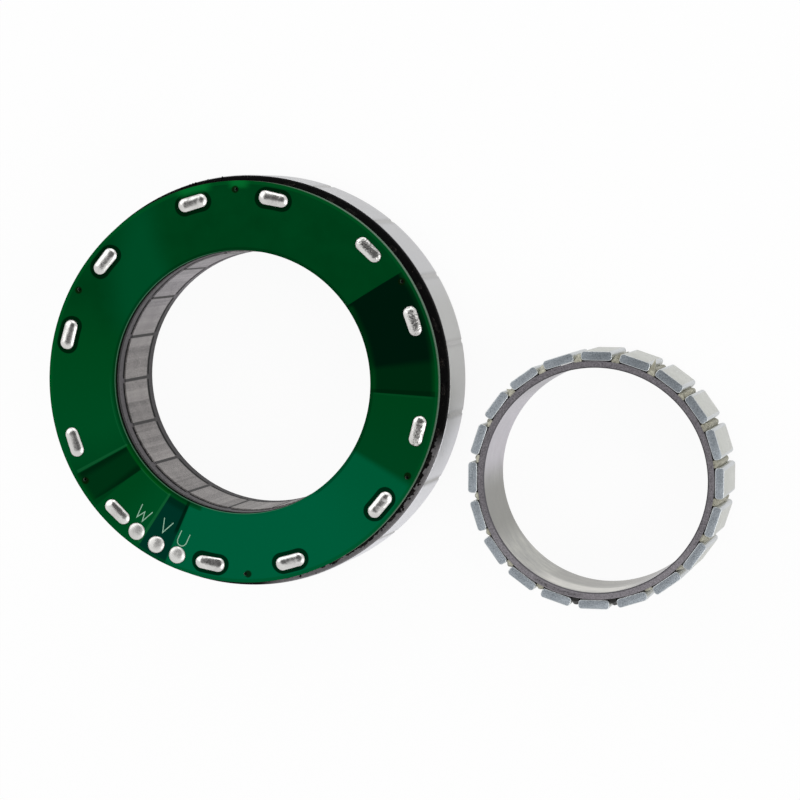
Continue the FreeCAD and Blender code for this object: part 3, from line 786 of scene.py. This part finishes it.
# Magnets: twenty flat blocks of sintered magnet, tumbled so that their edges are round, then plated and
# glued to the ring. The plating is satin on the flats, with a painted highlight on the round edges, and
# the ends are painted lit on one side and shaded on the other.
MAGNETS = 20
MAGNET_PITCH = 360 / MAGNETS
FIRST_MAGNET = 16.84
MAGNET_SEAT = 26.859
MAGNET_FACE = 28.909
MAGNET_HALF_WIDTH = 3.5
MAGNET_BOTTOM = 2.0
MAGNET_ROUND = 0.72
MAGNET_END_BAND = 0.14
CORNER_POINTS = 7


def make_magnet(number):
    """A block with round upright edges and a narrow rounded band round both ends, which carry a painted highlight.
    """
    form = bmesh.new()
    middle = FIRST_MAGNET + (number - 1) * MAGNET_PITCH
    corners = ((MAGNET_FACE - MAGNET_ROUND, 1, 0), (MAGNET_SEAT + MAGNET_ROUND, 1, 90),
               (MAGNET_SEAT + MAGNET_ROUND, -1, 180), (MAGNET_FACE - MAGNET_ROUND, -1, 270))
    ends = ((MAGNET_END_BAND, 0.0), (MAGNET_END_BAND * 0.3, MAGNET_END_BAND * 0.3), (0.0, MAGNET_END_BAND))
    levels = [(MAGNET_BOTTOM + inward, drawn_in) for drawn_in, inward in ends]
    levels += [(RING_TOP - inward, drawn_in) for drawn_in, inward in ends[::-1]]
    rows = []
    for z, drawn_in in levels:
        row = []
        for cx, hand, start in corners:
            for i in range(CORNER_POINTS):
                dx, dy = polar(MAGNET_ROUND - drawn_in, start + i * 15)
                spot = turned(cx + dx, hand * (MAGNET_HALF_WIDTH - MAGNET_ROUND) + dy, middle, ROTOR)
                row.append(point(form, *spot, z))
        rows.append(row)
    # The round upright edges and the narrow end bands take the second finish, which carries a painted highlight.
    for step, pair in enumerate(zip(rows, rows[1:])):
        for i, side in enumerate(skin(form, pair, ends=False)):
            side.material_index = 0 if step == 2 and i % CORNER_POINTS == CORNER_POINTS - 1 else 1
    form.faces.new(rows[0][::-1])
    form.faces.new(rows[-1])
    return settle(f"magnet_block_{number:02d}", form)


plating, place = new_finish("magnet_plating", Metallic=0.55)
_, angle, height = round_axis(place, ROTOR)
orange = grain(place, 2.2, 4.0, 0.6)
patches = grain(place, 0.35, 2.0)
speckle = grain(place, 3.0, 4.0, 0.8)
side_tone = (orange * 0.4 + patches * 0.6).tint(paint(176, 178, 173), paint(212, 213, 207))
mixed = (speckle - 0.5) * 2.2 + patches * 0.4 + 0.3
lit_magnet_end = mixed.tint(paint(96, 104, 112), paint(184, 191, 197))
shaded_magnet_end = mixed.tint(paint(66, 73, 80), paint(158, 165, 171))
# Lit and shaded copies of the ends' plating: darker from 30° to 104°, paler elsewhere.
end_tone = angle.within(30, 104, 40).tint(lit_magnet_end, shaded_magnet_end)
on_end = height.above(RING_TOP - END_FILM, 0.02)
lay(plating, orange, 0.05, Base_Color=on_end.tint(side_tone, end_tone), Roughness=0.34 + orange * 0.2)
# A painted highlight: a brighter, more metallic plating on the round edges.
highlight_plating, place = new_finish("edge_highlight", Metallic=0.8)
nicks = grain(place, 2.6, 4.0)
lay(highlight_plating, nicks, 0.06, Base_Color=nicks.tint(paint(158, 163, 166), paint(222, 225, 226)),
    Roughness=0.25 + nicks * 0.2)
for number in range(1, MAGNETS + 1):
    block = add_piece(f"magnet_block_{number:02d}", make_magnet(number), plating, "magnet_plating",
                      f"magnet_{number:02d}", sharp=40)
    block.data.materials.append(highlight_plating)


# Adhesive: cream epoxy, drawn into the gap between each two magnets and left to set. It is lumpy and sunk
# at the ends, stands out of five gaps in thin flashes, lies deep in two, and in two more is painted black
# near the top, as painted shade in a deep gap.
BEAD_BOTTOM = 2.4
BEAD_TOP = 23.6
BEAD_STEPS = 44
BEAD_LIMIT = 28.6
BEAD_HALF_ANGLE = 1.85
BEAD_FOOT_ANGLE = 1.7
SUNKEN = (15, 16)
SHADED_GAPS = (13, 14)
FLASH_FOOT = 26.9
FLASHES = ((0, 20.3, 29.2, 0.4), (1, 20.9, 29.9, -0.7), (2, 21.2, 30.4, 0.8), (3, 20.4, 29.0, -0.6),
           (6, 20.8, 28.8, 0.5))


def add_flash(form, degrees, low, tip, lean):
    """A thin pointed flash of adhesive that stands out of a gap, from its foot to its tip."""
    places = [(FLASH_FOOT, -1.1, low), (FLASH_FOOT, 1.1, low), (FLASH_FOOT, 0.9, low + 2.4),
              (FLASH_FOOT, -0.9, low + 2.4), (tip, lean, low + 1.1)]
    corners = []
    for away, side, z in places:
        x, y = polar(away, degrees + math.degrees(side / away))
        corners.append(point(form, ROTOR[0] + x, ROTOR[1] + y, z))
    form.faces.new(corners[:4])
    for i in range(4):
        form.faces.new((corners[i], corners[(i + 1) % 4], corners[4]))


def make_beads():
    form = bmesh.new()
    for k, low, tip, lean in FLASHES:
        add_flash(form, FIRST_MAGNET + (k + 0.5) * MAGNET_PITCH, low, tip, lean)
    for k in range(MAGNETS):
        middle = FIRST_MAGNET + (k + 0.5) * MAGNET_PITCH
        fill = 0.55 if k in SUNKEN else 1.25 if k in SHADED_GAPS else 1.0
        rows = []
        for i in range(BEAD_STEPS + 1):
            share = i / BEAD_STEPS
            z = BEAD_BOTTOM + (BEAD_TOP - BEAD_BOTTOM) * share
            swell = 1 + 0.3 * noise.noise(Vector((k * 5.3, z * 0.35, 0)))
            swell += 0.16 * noise.noise(Vector((k * 2.1, z * 1.3, 4)))
            end = min(1.0, 0.35 + 5 * share, 0.5 + 4 * (1 - share))
            outline = []
            for j in range(9):
                across = j / 4 - 1
                crown = (1.25 + 0.25 * math.cos(across * 2.2)) * swell * end * fill * (1 - 0.16 * across * across)
                outline.append(polar(min(RING_OUTSIDE + crown, BEAD_LIMIT), middle + across * BEAD_HALF_ANGLE))
            outline += [polar(RING_OUTSIDE - 0.05, middle + side * BEAD_FOOT_ANGLE) for side in (1, -1)]
            rows.append([point(form, ROTOR[0] + x, ROTOR[1] + y, z) for x, y in outline])
        skin(form, rows)
    return settle("adhesive_beads", form)


epoxy, place = new_finish("cream_epoxy", Specular_IOR_Level=0.4)
_, angle, height = round_axis(place, ROTOR)
lumps = grain(place, 1.3, 4.0)
dirt = grain(place, 0.45, 3.0)
paler = (lumps - 0.5) * 1.8 + 0.5 + angle.within(90, 205, 20) * 0.28
cream = paler.tint(paint(104, 101, 86), paint(206, 204, 186))
cream = (dirt.above(0.6, 0.2) * 0.4).tint(cream, paint(112, 108, 92))
# Painted shade: the adhesive in the two gaps from 256° to 282° is near black over its upper part.
gap_shadow = angle.within(256, 282, 0.5) * height.above(17.0, 3.0)
lay(epoxy, lumps, 0.2, Base_Color=gap_shadow.tint(cream, paint(16, 15, 14)), Roughness=0.4 + lumps * 0.25)
add_piece("adhesive_beads", make_beads(), epoxy, "magnet_adhesive", "magnet_adhesive", sharp=50)


# Studio: a pale floor under soft light from the right, the left and behind, and a camera high above the
# two halves, out to the right, as they were photographed.
FLOOR_REACH = 4
FLOOR_GREY = 0.94
FLOOR_GLOW = 0.94
PLAIN_LIGHT = 0.55
LAMP_AIM = (0.04, 0.0, 0.0)
LENS = 147.15
RIGHT = (0.977369, -0.012783, -0.211153)
UPWARD = (0.0, 0.998172, -0.060429)
BACK = (0.211540, 0.059061, 0.975583)
STAND = (0.19213, 0.03935, 0.74523)

floor_mesh = bpy.data.meshes.new("studio_floor")
corners = [(x * FLOOR_REACH, y * FLOOR_REACH, 0) for x, y in ((-1, -1), (1, -1), (1, 1), (-1, 1))]
floor_mesh.from_pydata(corners, [], [(0, 1, 2, 3)])
floor = bpy.data.objects.new("studio_floor", floor_mesh)
bpy.context.scene.collection.objects.link(floor)
paper = bpy.data.materials.new("studio_paper")
paper.use_nodes = True
tree = paper.node_tree
matt = tree.nodes["Principled BSDF"]
matt.inputs["Base Color"].default_value = (FLOOR_GREY, FLOOR_GREY, FLOOR_GREY, 1)
matt.inputs["Roughness"].default_value = 0.9
matt.inputs["Specular IOR Level"].default_value = 0.1
rays = Shade(matt.outputs[0]).node("LightPath")
lines = rays.socket.node.outputs
shown_white = Shade(lines["Is Camera Ray"]) + Shade(lines["Is Glossy Ray"]) + Shade(lines["Is Transmission Ray"])
glow = rays.node("Emission", None, {"Color": (1, 1, 1, 1), "Strength": 1.0})
share = shown_white.maths("MINIMUM", 1.0) * FLOOR_GLOW
seen = share.node("MixShader", None, {0: share, 1: Shade(matt.outputs[0]), 2: glow})
tree.links.new(seen.socket, tree.nodes["Material Output"].inputs["Surface"])
floor_mesh.materials.append(paper)

sky = bpy.data.worlds.new("studio_sky")
sky.use_nodes = True
tree = sky.node_tree
light = tree.nodes["Background"]
rays = Shade(light.outputs[0]).node("LightPath")
lines = rays.socket.node.outputs
glossy_ray = Shade(lines["Is Glossy Ray"])
white = (Shade(lines["Is Camera Ray"]) + Shade(lines["Is Transmission Ray"])).maths("MINIMUM", 1.0)
east, north, up = axes(rays.node("TexCoord", output=0))
# A dark patch of the sky, for the flat tops of metal to mirror.
overhead = (up * 0.972 + north * 0.225 - east * 0.06).above(0.895, 0.07)
level = white + (1 - white) * (glossy_ray * (1.0 - overhead * 0.93) + (1 - glossy_ray) * PLAIN_LIGHT)
tree.links.new(level.socket, light.inputs["Strength"])
light.inputs["Color"].default_value = (1, 1, 1, 1)
bpy.context.scene.world = sky

for name, spot, wide, power in (
    ("lamp_right", (0.75, -0.35, 0.85), 0.7, 3.6),
    ("lamp_left", (-0.7, 0.5, 0.8), 0.8, 2.6),
    ("lamp_back", (0.1, 0.9, 0.7), 0.6, 1.8),
):
    lamp = bpy.data.lights.new(name, "AREA")
    lamp.shape = "SQUARE"
    lamp.size = wide
    lamp.energy = power
    holder = bpy.data.objects.new(name, lamp)
    holder.location = spot
    holder.rotation_euler = (Vector(LAMP_AIM) - Vector(spot)).to_track_quat("-Z", "Y").to_euler()
    bpy.context.scene.collection.objects.link(holder)

eye = bpy.data.cameras.new("photograph")
eye.sensor_width = 36.0
eye.lens = LENS
eye.clip_start = 0.01
camera = bpy.data.objects.new("photograph", eye)
camera.matrix_world = Matrix([*zip(RIGHT, UPWARD, BACK, STAND), (0, 0, 0, 1)])
bpy.context.scene.collection.objects.link(camera)
bpy.context.scene.camera = camera
bpy.context.scene.view_settings.view_transform = "Standard"
